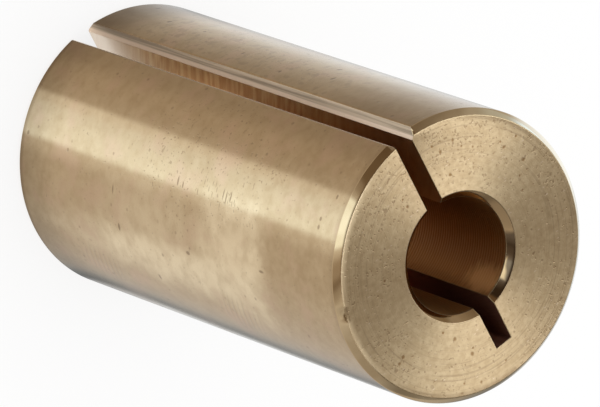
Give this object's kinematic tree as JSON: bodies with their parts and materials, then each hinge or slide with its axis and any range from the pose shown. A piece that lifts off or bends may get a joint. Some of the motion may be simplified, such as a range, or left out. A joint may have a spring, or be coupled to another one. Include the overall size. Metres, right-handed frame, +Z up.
{
  "type": "split shaft adapter sleeve",
  "caption": "Turned bronze sleeve with a through bore and a lengthwise saw cut, which closes on a small shaft and seats it in a larger hub.",
  "frame": {"origin": "centre of the lower end face, on the bore's axis", "axes": "+Z up along the bore, -Y towards the open side of the saw cut, +X to the right of the slit"},
  "size_m": [0.0158, 0.0158, 0.031],
  "materials": {
    "bronze": "turned satin bronze, sawn slit, lightly handled"
  },
  "bodies": {
    "root": {"split_sleeve": "bronze"}
  },
  "joints": []
}
